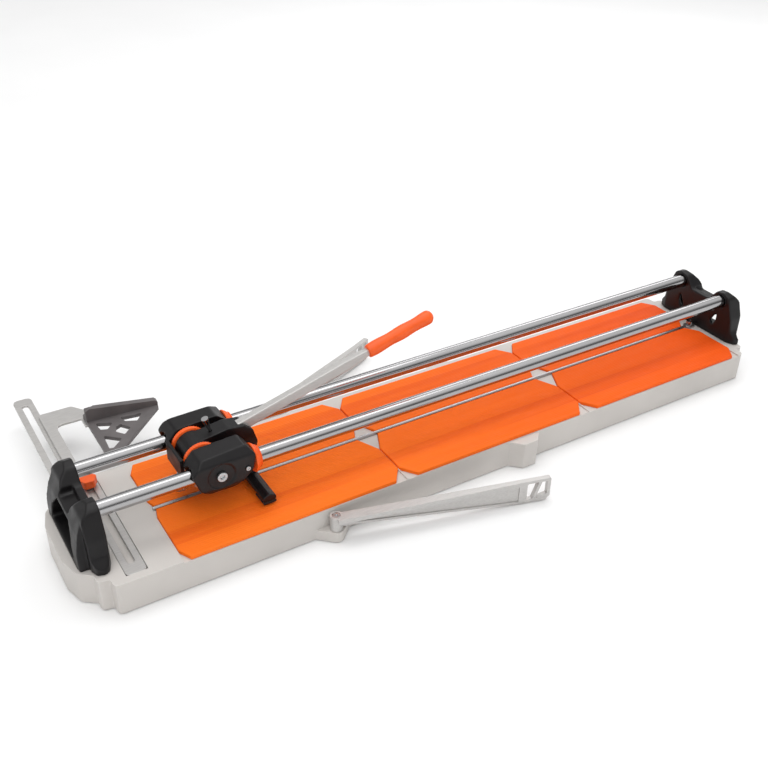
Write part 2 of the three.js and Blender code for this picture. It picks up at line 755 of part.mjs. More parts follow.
// The grip's outline, turned about the lever: a collar, two finger swells and a round end.
function gripSolid() {
  const { length, radius } = grip;
  const bulge = [0.86, 1, 0.98, 0.9, 0.94, 1, 0.9, 0.86, 0.96, 1.04, 1.04, 0.9, 0.6, 0];
  const profile = bulge.map((share, i) => {
    const last = bulge.length - 1;
    const along = i < last - 2 ? (i / (last - 2)) * 0.93 : [0.975, 0.993, 1][i - last + 2];
    return new THREE.Vector2(share * radius, along * length);
  });
  const lathe = new THREE.LatheGeometry([new THREE.Vector2(0, 0), ...profile], 14);
  lathe.rotateZ(-Math.PI / 2).translate(lever.length + seatGap, 0, 0);
  const core = block(
    lever.length - 1,
    lever.length + grip.length * 0.7 + seatGap,
    -lever.tipWidth / 2 - seatGap,
    lever.tipWidth / 2 + seatGap,
    -lever.tipHeight / 2 - seatGap,
    lever.tipHeight / 2 + seatGap,
  );
  return cut(solid(lathe), core);
}

function clampScrewSolid() {
  const seat = lever.height / 2 + seatGap * 2;
  const { at, radius, headRadius, shoulder, height } = clampScrew;
  const shank = bar(radius, "z", seat + 4, shoulder + 1, at, 0, 12);
  return join(shank, bar(radius, "z", shoulder, shoulder + height, at, 0, 20, headRadius));
}

// ---- Scoring wheel, in its own coordinates: the origin is the hub's axis and the wheel hangs straight below ----

// The steel holder under the hub carries the scoring wheel in a fork.
function holderSolid() {
  const { reach, radius, thickness, pin, arm: cheek, gap, strapHalf } = scorer;
  const outerHalf = thickness / 2 + gap + cheek;
  const strap = outline([
    [-strapHalf + 1, -reach - 5, 4],
    [strapHalf - 1, -reach - 5, 4],
    [strapHalf, -hub.radius * 0.7],
    [-strapHalf, -hub.radius * 0.7],
  ]);
  const wide = radius + 4;
  const room = block(-wide, wide, -thickness / 2 - gap, thickness / 2 + gap, -reach - wide, -reach + radius + 2);
  const hole = bar(pin + boreGap, "y", -outerHalf - 1, outerHalf + 1, 0, -reach, 16);
  const drum = bar(hub.radius + seatGap, "y", -outerHalf - 1, outerHalf + 1, 0, 0, 28);
  return cut(slab(strap, -outerHalf, outerHalf, "y"), drum, room, hole);
}

function wheelSolid() {
  const { reach, radius, thickness, pin } = scorer;
  const profile = [
    [pin + runGap, -thickness / 2],
    [radius * 0.7, -thickness / 2],
    [radius * 0.8, -thickness / 6],
    [radius, 0],
    [radius * 0.8, thickness / 6],
    [radius * 0.7, thickness / 2],
    [pin + runGap, thickness / 2],
    [pin + runGap, -thickness / 2],
  ].map(([r, y]) => new THREE.Vector2(r, y));
  return solid(new THREE.LatheGeometry(profile, 24).translate(0, 0, -reach));
}

function wheelPinSolid() {
  const reach = scorer.thickness / 2 + scorer.gap + scorer.arm;
  return bar(scorer.pin, "y", -reach, reach, 0, -scorer.reach, 16);
}

// ---- Breaker foot, in carriage coordinates at rest ----

const tilt = THREE.MathUtils.degToRad(leverAngle);
const fromLever = (along, up) => [
  hub.x - carriage.x + along * Math.cos(tilt) - up * Math.sin(tilt),
  hub.z + along * Math.sin(tilt) + up * Math.cos(tilt),
];
const breakerPin = fromLever(breaker.pinAlong, -breaker.pinBelow);

function breakerSolid() {
  const [x, z] = breakerPin;
  const { barWidth, barHalf, barBottom, barTop, cheek, pin } = breaker;
  const inner = neck.halfWidth + runGap;
  const middle = x;
  const beam = outline([
    [middle - barWidth / 2, barBottom, 2],
    [middle + barWidth / 2, barBottom, 2],
    [middle + barWidth / 2, barTop - 2, 2],
    [middle, barTop + 3, 6],
    [middle - barWidth / 2, barTop - 2, 2],
  ]);
  const cheekShape = outline([
    [middle - barWidth / 2 + 1, barBottom + 2],
    [middle + barWidth / 2 - 1, barBottom + 2],
    [x + 7, z, 0],
    [x + 5, z + 5.5, 3],
    [x - 5, z + 5.5, 3],
    [x - 7, z],
  ]);
  const body = join(
    slab(beam, -barHalf, barHalf, "y"),
    slab(cheekShape, inner, inner + cheek, "y"),
    slab(cheekShape, -inner - cheek, -inner, "y"),
  );
  return cut(body, bar(pin + runGap, "y", -inner - cheek - 1, inner + cheek + 1, x, z, 16));
}

function breakerPadSolid(side) {
  const { barWidth, barHalf, barBottom, padBottom, padLength } = breaker;
  const middle = breakerPin[0];
  const shape = rectangle(middle - barWidth / 2, middle + barWidth / 2, padBottom, barBottom - seatGap, 1.5);
  return slab(shape, ...ordered(side * (barHalf - padLength), side * barHalf), "y");
}

function breakerPinSolid() {
  const reach = neck.halfWidth + runGap + breaker.cheek + 1;
  return bar(breaker.pin, "y", -reach, reach, breaker.pinAlong, -breaker.pinBelow, 16);
}

// ---- Gauge ----

const gaugeBottom = bench.top - 0.5 - gauge.thickness;
const gaugeFloor = gaugeBottom - gauge.pocketFloor;
const gaugeTop = gaugeBottom + gauge.thickness;
const gaugeHalf = gauge.width / 2;

// The channel in the bench, open at the rear, that the ruler bar slides in.
function channelOutline() {
  const x = gaugeHalf + gauge.clearance;
  return rectangle(gauge.x - x, gauge.x + x, gauge.front - gauge.clearance, sideHalf + 1);
}

// The ruler bar: a straight part in the channel, a sideways step and a straight part beyond the bench.
function gaugeSolid() {
  const { x, rearX, front, rear, jogFront, jogRear, slotWidth, slotMargin } = gauge;
  const plan = outline([
    [x - gaugeHalf, front, 5],
    [x + gaugeHalf, front, 5],
    [x + gaugeHalf, jogRear - 8, 8],
    [rearX + gaugeHalf, jogRear + 6, 6],
    [rearX + gaugeHalf, rear, 7],
    [rearX - gaugeHalf, rear, 7],
    [rearX - gaugeHalf, jogFront + 10, 6],
    [x - gaugeHalf, jogFront, 6],
  ]);
  const slot = (centre, y0, y1) =>
    slab(
      rectangle(centre - slotWidth / 2, centre + slotWidth / 2, y0, y1, slotWidth / 2 - 0.1),
      gaugeBottom - 1,
      gaugeTop + 1,
    );
  return cut(
    slab(plan, gaugeBottom, gaugeTop),
    slot(x, front + slotMargin, gauge.frontSlotEnd),
    slot(rearX, gauge.rearSlotStart, rear - slotMargin),
  );
}

const squarePivot = [square.x + square.lugWidth * 0.45, square.y + square.lugReach * 0.55];

// The plate that carries the square, fixed on the bar's edge beside the slot.
function gaugeArmSolid() {
  const bottom = gaugeTop + seatGap;
  const { thickness, overlap, legWidth, legStart, armFront, armRear } = gaugeArm;
  const x0 = gauge.rearX + gaugeHalf - overlap;
  const x1 = square.x - 2.5;
  const x2 = square.x + square.lugWidth - 1;
  const plate = outline([
    [x0, legStart, 3],
    [x0 + legWidth, legStart, 3],
    [x0 + legWidth, armFront, 8],
    [x1, armFront, 1],
    [x1, square.y + 2, 2],
    [x2, square.y + 2, 2],
    [x2, armFront + 8, 5],
    [x1 - 3, armRear, 6],
    [x0, armRear, 4],
  ]);
  const hole = bar(squareScrew.radius + boreGap, "z", bottom - 1, bottom + thickness + 1, ...squarePivot, 12);
  return cut(slab(plate, bottom, bottom + thickness), hole);
}

const openingGrowth = 1.2; // every opening is widened about its middle

// The openings of the square's lattice, from its right angle's corner: along the flange, and towards the front.
const squareOpenings = [
  [
    [10.5, 10],
    [29, 19],
    [20, 29],
    [12.3, 26],
  ],
  [
    [33, 32.5],
    [39.5, 29.5],
    [48.3, 41.5],
    [37.6, 51.7],
    [29.7, 41.6],
  ],
  [
    [46.7, 12.7],
    [73, 16.6],
    [63, 29],
    [50.3, 23.2],
  ],
  [
    [11, 47],
    [28.3, 62.3],
    [14.2, 75.2],
    [9, 74.6],
  ],
];

// A set square: a latticed right angle with a tall flange on its rear edge, lower towards the tip.
function squareSolid() {
  const { x, y, leg, bottom, thickness, skew, flange, flangeHeight, tipHeight, lugReach, lugWidth } = square;
  const lean = Math.tan(THREE.MathUtils.degToRad(skew));
  const plate = outline([
    [x, y + lugReach, 4],
    [x, y - leg, 2],
    [x + 7, y - leg + 2, 2],
    [x + leg - 1, y - leg * lean - 4, 2],
    [x + leg - 1, y - leg * lean + 4, 2],
    [x + lugWidth, y - lugWidth * lean + 4, 2],
    [x + lugWidth, y + lugReach, 4],
  ]);
  const scale = leg / 104;
  const openings = squareOpenings.map((corners) => {
    const middle = [0, 1].map((i) => corners.reduce((sum, corner) => sum + corner[i], 0) / corners.length);
    const widen = (value, i) => middle[i] + (value - middle[i]) * openingGrowth;
    const widened = corners.map((corner) => corner.map(widen));
    const shape = outline(widened.map(([along, across]) => [x + along * scale, y - across * scale, 1.5]));
    return slab(shape, bottom - 1, bottom + thickness + 1);
  });
  // The flange in (x, z), pushed back along the skewed edge.
  const start = 0;
  const wallSide = outline([
    [start, bottom],
    [leg, bottom],
    [leg, bottom + tipHeight - 3],
    [leg - 3, bottom + tipHeight],
    [start + 6, bottom + flangeHeight, 3],
    [start, bottom + flangeHeight - 3],
  ]);
  const wall = new THREE.ExtrudeGeometry(wallSide, { depth: flange, bevelEnabled: false });
  wall.rotateX(Math.PI / 2).translate(0, flange, 0).rotateZ(-THREE.MathUtils.degToRad(skew)).translate(x, y, 0);
  const over = bottom + flangeHeight + 1;
  const hole = bar(squareScrew.radius + boreGap, "z", bottom - 1, over, ...squarePivot, 12);
  const seat = bar(squareScrew.headRadius + 1, "z", bottom + thickness, over, ...squarePivot);
  return cut(join(slab(plate, bottom, bottom + thickness), solid(wall)), hole, seat, ...openings);
}

function squareScrewSolid() {
  const start = gaugeTop + 1;
  return screw(squareScrew, "z", start, square.bottom + square.thickness + seatGap, ...squarePivot);
}

const knobBottom = bench.top + seatGap;

function studSolid() {
  return bar(gaugeStud.radius, "z", bench.blankTop + 2, bench.top + gaugeStud.height, gauge.x, gaugeStud.y, 16);
}

function knobSolid() {
  const { radius, height, lobes, hub: collarRadius, capBase } = knob;
  const points = [];
  const steps = lobes * 6;
  for (let k = 0; k < steps; k++) {
    const angle = (k / steps) * 2 * Math.PI;
    const reach = radius * (0.93 + 0.07 * Math.cos(lobes * angle));
    points.push([gauge.x + reach * Math.cos(angle), gaugeStud.y + reach * Math.sin(angle)]);
  }
  const centre = [gauge.x, gaugeStud.y];
  const cap = slab(outline(points), knobBottom + capBase, knobBottom + height);
  const collar = bar(collarRadius, "z", knobBottom, knobBottom + capBase + 1, ...centre);
  const bore = bar(gaugeStud.radius + runGap, "z", knobBottom - 1, knobBottom + height - 2, ...centre, 16);
  return cut(join(cap, collar), bore);
}

// ---- Support arms: modelled along +X with the pivot at the origin, wall is the side nearest the bench ----

// Seen from the side: a web that deepens from the pivot to an end block standing just off the floor.
function armSide() {
  const { top, foot, rootBottom, length, bevel, level } = arm;
  return outline([
    [0, rootBottom],
    [level, rootBottom],
    [armDeep, foot, 6],
    [length - bevel, foot, 2],
    [length, foot + bevel, 2],
    [length, top, 2],
    [0, top],
  ]);
}

// The recess in each face, under the flange and inside a margin along the falling underside.
function armPanel() {
  const { top, foot, rootBottom, level, panelMargin, flange } = arm;
  const fall = (foot - rootBottom) / (armDeep - level);
  const [start, end] = [level + panelMargin, armDeep - 2 * panelMargin];
  const bottomAt = (along) => rootBottom + fall * (along - level) + panelMargin;
  return outline([
    [start, bottomAt(start)],
    [end, bottomAt(end)],
    [end, top - flange],
    [start, top - flange],
  ]);
}

function armSolid(wall) {
  const { length, top, foot, wallEdge, web, flange, flangeWidth, hubRadius, rim, panel, slant } = arm;
  const outer = wallEdge - web;
  const side = (low, high) => ordered(wall * low, wall * high);
  const crown = outline([
    [0, wall * wallEdge],
    [length - 2, wall * wallEdge],
    [length - 2, wall * outer],
    [armDeep, wall * outer],
    [length / 2, wall * (outer - (flangeWidth - web) / 2)],
    [0, wall * (wallEdge - flangeWidth)],
  ]);
  const hubPost = bar(hubRadius, "z", arm.hubBottom, top, 0, 0);
  const body = join(slab(armSide(), ...side(outer, wallEdge), "y"), slab(crown, top - flange, top), hubPost);
  // Two slanted windows through the end block.
  const [x0, x1, z0, z1] = [armDeep + rim, length - rim, foot + rim, top - rim];
  const middle = (x0 + x1) / 2;
  const windows = [
    [
      [x0, z0, 2],
      [middle - slant - rim / 2, z0, 1],
      [middle + slant - rim / 2, z1, 1],
      [x0, z1, 2],
    ],
    [
      [middle - slant + rim / 2, z0, 1],
      [x1, z0 + rim, 2],
      [x1, z1, 2],
      [middle + slant + rim / 2, z1, 1],
    ],
  ];
  const through = windows.map((shape) => slab(outline(shape), ...side(outer - 1, wallEdge + 1), "y"));
  const panels = [
    slab(armPanel(), ...side(outer - 1, outer + panel), "y"),
    slab(armPanel(), ...side(wallEdge - panel, wallEdge + 1), "y"),
  ];
  const bore = bar(armPin.radius + runGap, "z", arm.hubBottom - 1, top + 1, 0, 0, 16);
  const counterbore = bar(armPin.headRadius + runGap, "z", top - armPin.headHeight - seatGap, top + 1, 0, 0);
  return cut(body, ...through, ...panels, bore, counterbore);
}

function armPinSolid(x, side) {
  const top = arm.top - 0.2;
  const start = bench.bottom + 4 + seatGap;
  return screw(armPin, "z", start, top - armPin.headHeight, x, side * lugY);
}

// ---- Assembly ----

add("bench_casting", benchSolid(), castGrey);
add("breaking_ridge", ridgeSolid(), steel);
for (let i = 0; i < pad.count; i++) {
  add(`pad_front_${i + 1}`, padSolid(i, -1), orange);
  add(`pad_rear_${i + 1}`, padSolid(i, 1), orange);
}
const tabTop = bench.top + ridge.tabThickness + seatGap * 2;
add("ridge_screw", screw(ridgeScrew, "z", tabTop - ridgeScrew.length, tabTop, ridgeEnd, 0), chrome);
footPlaces.forEach(([x, y], i) => add(`foot_${i + 1}`, bar(foot.radius, "z", 0, foot.thickness, x, y), rubber));
add("foot_middle", slab(middleFootOutline(), 0, foot.thickness), rubber);

for (const [end, name] of [
  [-1, "near"],
  [1, "far"],
]) {
  add(`bracket_${name}`, bracketSolid(end), black);
  for (const [side, place] of [
    [-1, "front"],
    [1, "rear"],
  ]) {
    add(
      `bracket_bolt_${name}_${place}`,
      screw(bracketBolt, "z", bench.top + 18, boltSeat - seatGap, boltX(end), boltY(side)),
      steel,
    );
    add(`rail_screw_${name}_${place}`, railScrewSolid(end, side), steel);
  }
}
for (const [side, place] of [
  [-1, "front"],
  [1, "rear"],
])
  add(`rail_${place}`, bar(railRadius, "x", -half - socketDepth, half + socketDepth, side * railY, railHeight, 28), chrome);

const slider = new THREE.Group();
slider.position.x = carriage.x;
cutter.add(slider);
for (const [side, place] of [
  [-1, "front"],
  [1, "rear"],
]) {
  add(`carriage_housing_${place}`, housingSolid(side), black, slider);
  add(`bushing_${place}`, bushSolid(side), steel, slider);
  add(`rail_wiper_${place}`, wiperSolid(side), orange, slider);
  add(`bushing_screw_${place}`, sideScrewSolid(side), steel, slider);
}
add("cover_screw", coverScrewSolid(-1), steel, slider);
add("carriage_bridge", bridgeSolid(), black, slider);
add("lever_axle", axleSolid(), steel, slider);

const swing = new THREE.Group();
swing.position.set(hub.x - carriage.x, 0, hub.z);
swing.rotation.y = -tilt;
slider.add(swing);
add("lever_hub", neckSolid(), black, swing);
add("hub_ring_front", ringSolid(-1), orange, swing);
add("hub_ring_rear", ringSolid(1), orange, swing);
add("lever_bar", leverSolid(), lightGrey, swing);
add("lever_grip", gripSolid(), orange, swing);
add("lever_clamp_screw", clampScrewSolid(), chrome, swing);
const fork = new THREE.Group();
fork.rotation.y = THREE.MathUtils.degToRad(scorer.lean);
swing.add(fork);
add("wheel_holder", holderSolid(), steel, fork);
add("scoring_wheel", wheelSolid(), steel, fork);
add("wheel_pin", wheelPinSolid(), steel, fork);
add("breaker_pin", breakerPinSolid(), steel, swing);
add("breaker_foot", breakerSolid(), black, slider);
add("breaker_pad_front", breakerPadSolid(-1), rubber, slider);
add("breaker_pad_rear", breakerPadSolid(1), rubber, slider);

add("gauge_bar", gaugeSolid(), lightGrey);
add("gauge_arm", gaugeArmSolid(), lightGrey);
add("gauge_square", squareSolid(), darkGrey);
add("square_screw", squareScrewSolid(), steel);
add("gauge_stud", studSolid(), steel);
add("gauge_knob", knobSolid(), orange);

for (const [name, place, side] of [
  ["front", frontArm, -1],
  ["rear", rearArm, 1],
]) {
  const pivot = new THREE.Group();
  pivot.position.set(place.x, side * lugY, 0);
  pivot.rotation.z = THREE.MathUtils.degToRad(place.angle);
  cutter.add(pivot);
  add(`support_arm_${name}`, armSolid(-side), lightGrey, pivot);
  add(`arm_pin_${name}`, armPinSolid(place.x, side), steel);
}

export default cutter;
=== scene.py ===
import json
import math

import bmesh
import bpy
from mathutils import Matrix, Vector

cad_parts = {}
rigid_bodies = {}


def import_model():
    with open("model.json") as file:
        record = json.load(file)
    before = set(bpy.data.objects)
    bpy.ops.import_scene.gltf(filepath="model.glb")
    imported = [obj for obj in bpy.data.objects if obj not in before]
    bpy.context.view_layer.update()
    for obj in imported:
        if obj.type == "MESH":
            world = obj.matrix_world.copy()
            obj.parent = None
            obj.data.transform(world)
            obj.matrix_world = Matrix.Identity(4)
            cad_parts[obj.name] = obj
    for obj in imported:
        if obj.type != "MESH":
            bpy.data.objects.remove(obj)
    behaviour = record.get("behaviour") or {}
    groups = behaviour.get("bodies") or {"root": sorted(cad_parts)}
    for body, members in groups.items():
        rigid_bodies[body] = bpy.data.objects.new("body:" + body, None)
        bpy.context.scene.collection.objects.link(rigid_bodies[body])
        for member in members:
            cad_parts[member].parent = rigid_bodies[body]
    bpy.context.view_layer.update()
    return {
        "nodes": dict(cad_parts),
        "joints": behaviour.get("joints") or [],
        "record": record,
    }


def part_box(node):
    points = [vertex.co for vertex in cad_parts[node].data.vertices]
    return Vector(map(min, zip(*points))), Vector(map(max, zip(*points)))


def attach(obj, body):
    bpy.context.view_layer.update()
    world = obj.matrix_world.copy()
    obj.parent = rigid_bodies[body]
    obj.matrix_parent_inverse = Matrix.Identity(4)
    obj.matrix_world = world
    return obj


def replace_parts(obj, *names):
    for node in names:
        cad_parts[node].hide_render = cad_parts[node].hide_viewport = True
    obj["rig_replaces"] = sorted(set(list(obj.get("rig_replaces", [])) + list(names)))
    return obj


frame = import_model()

record = frame["record"]
BODY_OF = {node: body for body, nodes in record["behaviour"]["bodies"].items() for node in nodes}
SLOT_OF = {row["node"]: row["material_slot"] for row in record["subparts"]}
MM = 0.001

# ---- Materials ----


class Shader:
    """A node material being built: a Principled surface, with short calls for the nodes that feed it."""

    def __init__(self, name, colour, roughness, metallic=0.0, **sockets):
        self.material = bpy.data.materials.new(name)
        self.material.use_nodes = True
        self.tree = self.material.node_tree
        self.surface = self.tree.nodes["Principled BSDF"]
        self.surface.inputs["Base Color"].default_value = (*colour, 1)
        self.surface.inputs["Roughness"].default_value = roughness
        self.surface.inputs["Metallic"].default_value = metallic
        for socket, value in sockets.items():
            self.surface.inputs[socket.replace("_", " ")].default_value = value
        self.place = self.node("ShaderNodeTexCoord").outputs["Object"]

    def node(self, kind, **settings):
        made = self.tree.nodes.new(kind)
        for key, value in settings.items():
            setattr(made, key, value)
        return made

    def link(self, source, target):
        self.tree.links.new(source, target)

    def stretched(self, stretch):
        mapping = self.node("ShaderNodeMapping")
        mapping.inputs["Scale"].default_value = stretch
        self.link(self.place, mapping.inputs["Vector"])
        return mapping.outputs["Vector"]

    def noise(self, scale, detail=3.0, stretch=(1, 1, 1)):
        made = self.node("ShaderNodeTexNoise")
        made.inputs["Scale"].default_value = scale
        made.inputs["Detail"].default_value = detail
        self.link(self.stretched(stretch), made.inputs["Vector"])
        return made.outputs["Fac"]

    def spread(self, value, low, high, start=0.3, end=0.7):
        made = self.node("ShaderNodeMapRange")
        for socket, number in zip(("From Min", "From Max", "To Min", "To Max"), (start, end, low, high)):
            made.inputs[socket].default_value = number
        self.link(value, made.inputs["Value"])
        return made.outputs["Result"]

    def axis(self, letter):
        split = self.node("ShaderNodeSeparateXYZ")
        self.link(self.place, split.inputs["Vector"])
        return split.outputs[letter]

    def blend(self, share, first, second):
        """A colour between two, each a colour or a socket, by a share that is a socket."""
        made = self.node("ShaderNodeMix", data_type="RGBA")
        self.link(share, made.inputs["Factor"])
        for socket, value in ((made.inputs[6], first), (made.inputs[7], second)):
            if isinstance(value, tuple):
                socket.default_value = (*value, 1)
            else:
                self.link(value, socket)
        return made.outputs[2]

    def math(self, operation, first, second):
        made = self.node("ShaderNodeMath", operation=operation)
        for socket, value in zip(made.inputs, (first, second)):
            if isinstance(value, (int, float)):
                socket.default_value = value
            else:
                self.link(value, socket)
        return made.outputs["Value"]

    def edges(self, radius):
        """1 along edges and 0 on flats, by how far a rounded normal turns from the true one."""
        rounded = self.node("ShaderNodeBevel", samples=4)
        rounded.inputs["Radius"].default_value = radius
        true = self.node("ShaderNodeNewGeometry")
        dot = self.node("ShaderNodeVectorMath", operation="DOT_PRODUCT")
        self.link(rounded.outputs["Normal"], dot.inputs[0])
        self.link(true.outputs["Normal"], dot.inputs[1])
        return self.spread(dot.outputs["Value"], 0, 1, 0.995, 0.9)

    def bump(self, height, strength, distance=0.0004):
        made = self.node("ShaderNodeBump")
        made.inputs["Strength"].default_value = strength
        made.inputs["Distance"].default_value = distance
        self.link(height, made.inputs["Height"])
        before = self.surface.inputs["Normal"]
        if before.is_linked:
            self.link(before.links[0].from_socket, made.inputs["Normal"])
        self.link(made.outputs["Normal"], before)

    def paint(self, socket):
        self.link(socket, self.surface.inputs["Base Color"])

    def gloss(self, socket):
        self.link(socket, self.surface.inputs["Roughness"])


def shade(colour, factor):
    return tuple(min(1.0, channel * factor) for channel in colour)


def cast_paint():
    """Powder-coated casting: orange-peel bump, soft mottling and paler edges."""
    grey = (0.60, 0.57, 0.54)
    made = Shader("cast_paint", grey, 0.5, Specular_IOR_Level=0.4)
    mottled = made.blend(made.spread(made.noise(9), 0, 1), shade(grey, 0.93), shade(grey, 1.05))
    worn = made.math("MULTIPLY", made.edges(0.0015), made.spread(made.noise(160), 0.1, 0.55))
    made.paint(made.blend(worn, mottled, (0.78, 0.765, 0.74)))
    made.gloss(made.spread(made.noise(40), 0.42, 0.58))
    made.bump(made.noise(700, 2), 0.18)
    made.bump(made.noise(90, 3), 0.12, 0.0006)
    return made.material


def pad_rubber():
    """Orange pad rubber: fine grain, a darker band of painted shade along the middle of each row, deeper red
    towards the far end.
    """
    orange = (1.0, 0.19, 0.01)
    deep = (0.88, 0.06, 0.003)
    made = Shader("pad_rubber", orange, 0.6, Specular_IOR_Level=0.2)
    along = made.spread(made.axis("X"), 0, 0.75, -0.25, 0.65)
    base = made.blend(along, orange, deep)
    # Painted shade: a darker band along the middle of each row, broken up by the streaks.
    across = made.math("ABSOLUTE", made.axis("Y"), 0)
    band = made.math("COMPARE", across, 0.066)
    band.node.inputs[2].default_value = 0.0135
    streaks = made.spread(made.noise(60, 4, (0.06, 1, 1)), 0, 1)
    painted_shade_band = made.math("MULTIPLY", band, made.spread(streaks, 0.08, 0.32, 0, 1))
    toned = made.blend(painted_shade_band, base, shade(deep, 0.8))
    fine = made.math("MULTIPLY", streaks, 0.16)
    made.paint(made.blend(fine, toned, shade(deep, 0.9)))
    made.gloss(made.spread(made.noise(120, 3, (0.3, 1, 1)), 0.52, 0.68))
    made.bump(made.noise(1500, 2), 0.12, 0.0002)
    return made.material


def bright_plastic(name, orange, grain):
    """Glossy or rubbery orange moulding with a faint grain."""
    made = Shader(name, orange, 0.4, Specular_IOR_Level=0.45)
    made.paint(made.blend(made.spread(made.noise(35), 0, 1), shade(orange, 0.86), shade(orange, 1.06)))
    made.gloss(made.spread(made.noise(220), 0.34, 0.5))
    made.bump(made.noise(grain, 2), 0.2, 0.00025)
    return made.material


def black_plastic():
    """Glass-filled black nylon: spark-eroded texture, paler edges that are part scuff and part painted
    highlight.
    """
    black = (0.0055, 0.0046, 0.0052)
    made = Shader("black_plastic", black, 0.42, Specular_IOR_Level=0.32)
    mottled = made.blend(made.spread(made.noise(25), 0, 1), shade(black, 0.8), shade(black, 1.3))
    # Paler edges: scuffs together with a painted highlight along the edges.
    scuffs_and_edge_highlight = made.math("MULTIPLY", made.edges(0.0012), made.spread(made.noise(220), 0.05, 0.4))
    made.paint(made.blend(scuffs_and_edge_highlight, mottled, (0.06, 0.06, 0.065)))
    made.gloss(made.spread(made.noise(60), 0.36, 0.52))
    made.bump(made.noise(1800, 2), 0.22, 0.0002)
    return made.material


def dark_plastic():
    """Warm dark grey moulding of the set square."""
    grey = (0.115, 0.104, 0.104)
    made = Shader("dark_plastic", grey, 0.5, Specular_IOR_Level=0.5)
    mottled = made.blend(made.spread(made.noise(30), 0, 1), shade(grey, 0.85), shade(grey, 1.2))
    # Paler edges: scuffs together with a painted highlight along the edges.
    scuffs_and_edge_highlight = made.math("MULTIPLY", made.edges(0.001), made.spread(made.noise(200), 0.1, 0.5))
    made.paint(made.blend(scuffs_and_edge_highlight, mottled, (0.16, 0.15, 0.15)))
    made.gloss(made.spread(made.noise(70), 0.42, 0.58))
    made.bump(made.noise(1400, 2), 0.25, 0.0002)
    return made.material


def black_rubber():
    made = Shader("black_rubber", (0.018, 0.018, 0.018), 0.75, Specular_IOR_Level=0.3)
    made.paint(made.blend(made.spread(made.noise(50), 0, 1), (0.013, 0.013, 0.013), (0.026, 0.025, 0.024)))
    made.gloss(made.spread(made.noise(90), 0.66, 0.84))
    made.bump(made.noise(1100, 3), 0.35, 0.0003)
    return made.material


def chrome():
    """Polished hard chrome: fine streaks along the bar in its gloss, hardly any bump."""
    grey = (0.42, 0.415, 0.42)
    made = Shader("chrome", grey, 0.1, 1.0)
    streaks = made.spread(made.noise(14, 2, (0.3, 1, 1)), 0, 1)
    made.paint(made.blend(streaks, shade(grey, 0.93), shade(grey, 1.06)))
    made.gloss(made.spread(made.noise(420, 4, (0.02, 1, 1)), 0.1, 0.2))
    made.bump(made.noise(600, 2, (0.02, 1, 1)), 0.03, 0.0001)
    return made.material


def satin_metal(name, grey, brushed, smooth, rough, metallic=1.0):
    """Brushed or blasted metal: brushed is how much the grain is stretched along each axis."""
    made = Shader(name, grey, (smooth + rough) / 2, metallic)
    grain = made.noise(900, 3, brushed)
    made.paint(made.blend(made.spread(grain, 0, 1), shade(grey, 0.9), shade(grey, 1.07)))
    made.gloss(made.spread(grain, smooth, rough))
    made.bump(grain, 0.12, 0.00015)
    made.bump(made.noise(45), 0.05, 0.0005)
    return made.material


ORANGE = (1.0, 0.12, 0.01)
LOOKS = {
    "cast_grey": cast_paint(),
    "light_metal": satin_metal("light_metal", (0.55, 0.535, 0.52), (0.08, 1, 1), 0.32, 0.48, 0.55),
    "chrome": chrome(),
    "steel": satin_metal("steel", (0.50, 0.51, 0.52), (0.1, 1, 1), 0.24, 0.4),
    "black_plastic": black_plastic(),
    "dark_grey_plastic": dark_plastic(),
    "orange_plastic": bright_plastic("orange_plastic", ORANGE, 900),
    "orange_rubber": bright_plastic("grip_rubber", ORANGE, 2200),
    "pad": pad_rubber(),
    "black_rubber": black_rubber(),
}

# ---- Mesh helpers ----


def new_piece(name, bm, node, look=None):
    """A finished mesh as a piece that stands for a CAD node and rides on its body."""
    mesh = bpy.data.meshes.new(name)
    bm.normal_update()
    bm.to_mesh(mesh)
    bm.free()
    piece = bpy.data.objects.new(name, mesh)
    bpy.context.scene.collection.objects.link(piece)
    return dressed(piece, node, look)


def dressed(piece, node, look=None):
    slot = SLOT_OF[node]
    piece.data.materials.clear()
    piece.data.materials.append(LOOKS[look or slot])
    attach(piece, BODY_OF[node])
    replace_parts(piece, node)
    return piece


def cad_mesh(node):
    """A CAD node's surface as a welded mesh whose flat faces are whole."""
    bm = bmesh.new()
    bm.from_mesh(frame["nodes"][node].data)
    bmesh.ops.remove_doubles(bm, verts=bm.verts, dist=2e-6)
    bmesh.ops.dissolve_limit(bm, angle_limit=math.radians(0.5), verts=bm.verts, edges=bm.edges)
    return bm


def smooth_shading(mesh, angle=None):
    """Smooth faces, with edges sharper than angle (in degrees) kept crisp."""
    for polygon in mesh.polygons:
        polygon.use_smooth = True
    if angle is not None:
        mesh.set_sharp_from_angle(angle=math.radians(angle))


def soften(piece, width, segments, angle=32):
    """Rounds the edges sharper than angle, and shades the rest as one smooth surface."""
    smooth_shading(piece.data, angle)
    bevel = piece.modifiers.new("rounded_edges", "BEVEL")
    bevel.limit_method = "ANGLE"
    bevel.angle_limit = math.radians(angle)
    bevel.width = width
    bevel.segments = segments
    bevel.use_clamp_overlap = True
    bevel.harden_normals = False
    weighted = piece.modifiers.new("flat_faces", "WEIGHTED_NORMAL")
    weighted.keep_sharp = True
    return piece


def machined(node, width, segments):
    """A CAD shape with rounded edges: for machined, cast and folded parts."""
    return soften(new_piece(f"{node}_look", cad_mesh(node), node), width, segments)


